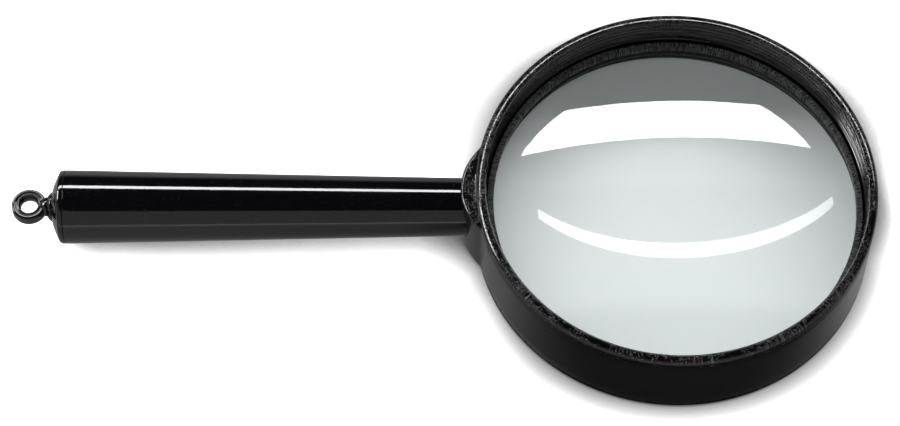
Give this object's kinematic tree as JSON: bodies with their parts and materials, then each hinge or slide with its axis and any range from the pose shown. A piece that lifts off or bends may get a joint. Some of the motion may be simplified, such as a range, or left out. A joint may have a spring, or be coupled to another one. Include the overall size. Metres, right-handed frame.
{
  "type": "magnifying glass",
  "caption": "Hand magnifying glass: round biconvex lens in a deep moulded rim, tapered screw-in handle with a hanging eye at its end.",
  "frame": {"origin": "centre of the whole glass's box, on the surface that the rim's back rests on", "axes": "+Z along the lens axis, out of the front of the rim; +X from the handle towards the rim"},
  "size_m": [0.2058, 0.095, 0.023],
  "materials": {
    "rim_plastic": "satin black moulding with a fine crinkle on its front face",
    "lens_glass": "polished, faintly green at its edge",
    "gasket_rubber": "dull black",
    "retainer_plastic": "rough black",
    "insert_brass": "turned",
    "stud_steel": "turned",
    "handle_plastic": "polished black with a faint fleck"
  },
  "bodies": {
    "rim": {"lens_frame": "rim_plastic", "lens": "lens_glass", "rear_gasket": "gasket_rubber", "boss_insert": "insert_brass"},
    "clamp_gasket": {"front_gasket": "gasket_rubber"},
    "clamp_ring": {"retaining_ring": "retainer_plastic"},
    "stud": {"handle_stud": "stud_steel"},
    "handle": {"handle_tube": "handle_plastic", "handle_insert": "insert_brass", "handle_end_cap": "handle_plastic", "end_collar": "handle_plastic"},
    "eye": {"hanging_eye": "handle_plastic"}
  },
  "joints": [
    {"name": "retaining_ring_lift", "type": "slide", "parent": "rim", "child": "clamp_gasket", "axis": [0, 0, 1], "range_m": [0, 0.00985]},
    {"name": "retaining_ring_turn", "type": "hinge", "parent": "clamp_gasket", "child": "clamp_ring", "pos_m": [0.05545, 0, 0.0115], "axis": [0, 0, 1], "range_deg": [0, 2520]},
    {"name": "handle_travel", "type": "slide", "parent": "rim", "child": "stud", "axis": [-1, 0, 0], "range_m": [0, 0.004]},
    {"name": "handle_turn", "type": "hinge", "parent": "stud", "child": "handle", "pos_m": [0, 0, 0.0115], "axis": [-1, 0, 0], "range_deg": [0, 1900]},
    {"name": "eye_turn", "type": "hinge", "parent": "handle", "child": "eye", "pos_m": [-0.09455, 0, 0.0115], "axis": [-1, 0, 0], "continuous": true}
  ],
  "couplings": [
    {"joint": "retaining_ring_lift", "follows": "retaining_ring_turn", "m_per_rad": 0.00022282},
    {"joint": "handle_turn", "follows": "handle_travel", "rad_per_m": 7854}
  ]
}
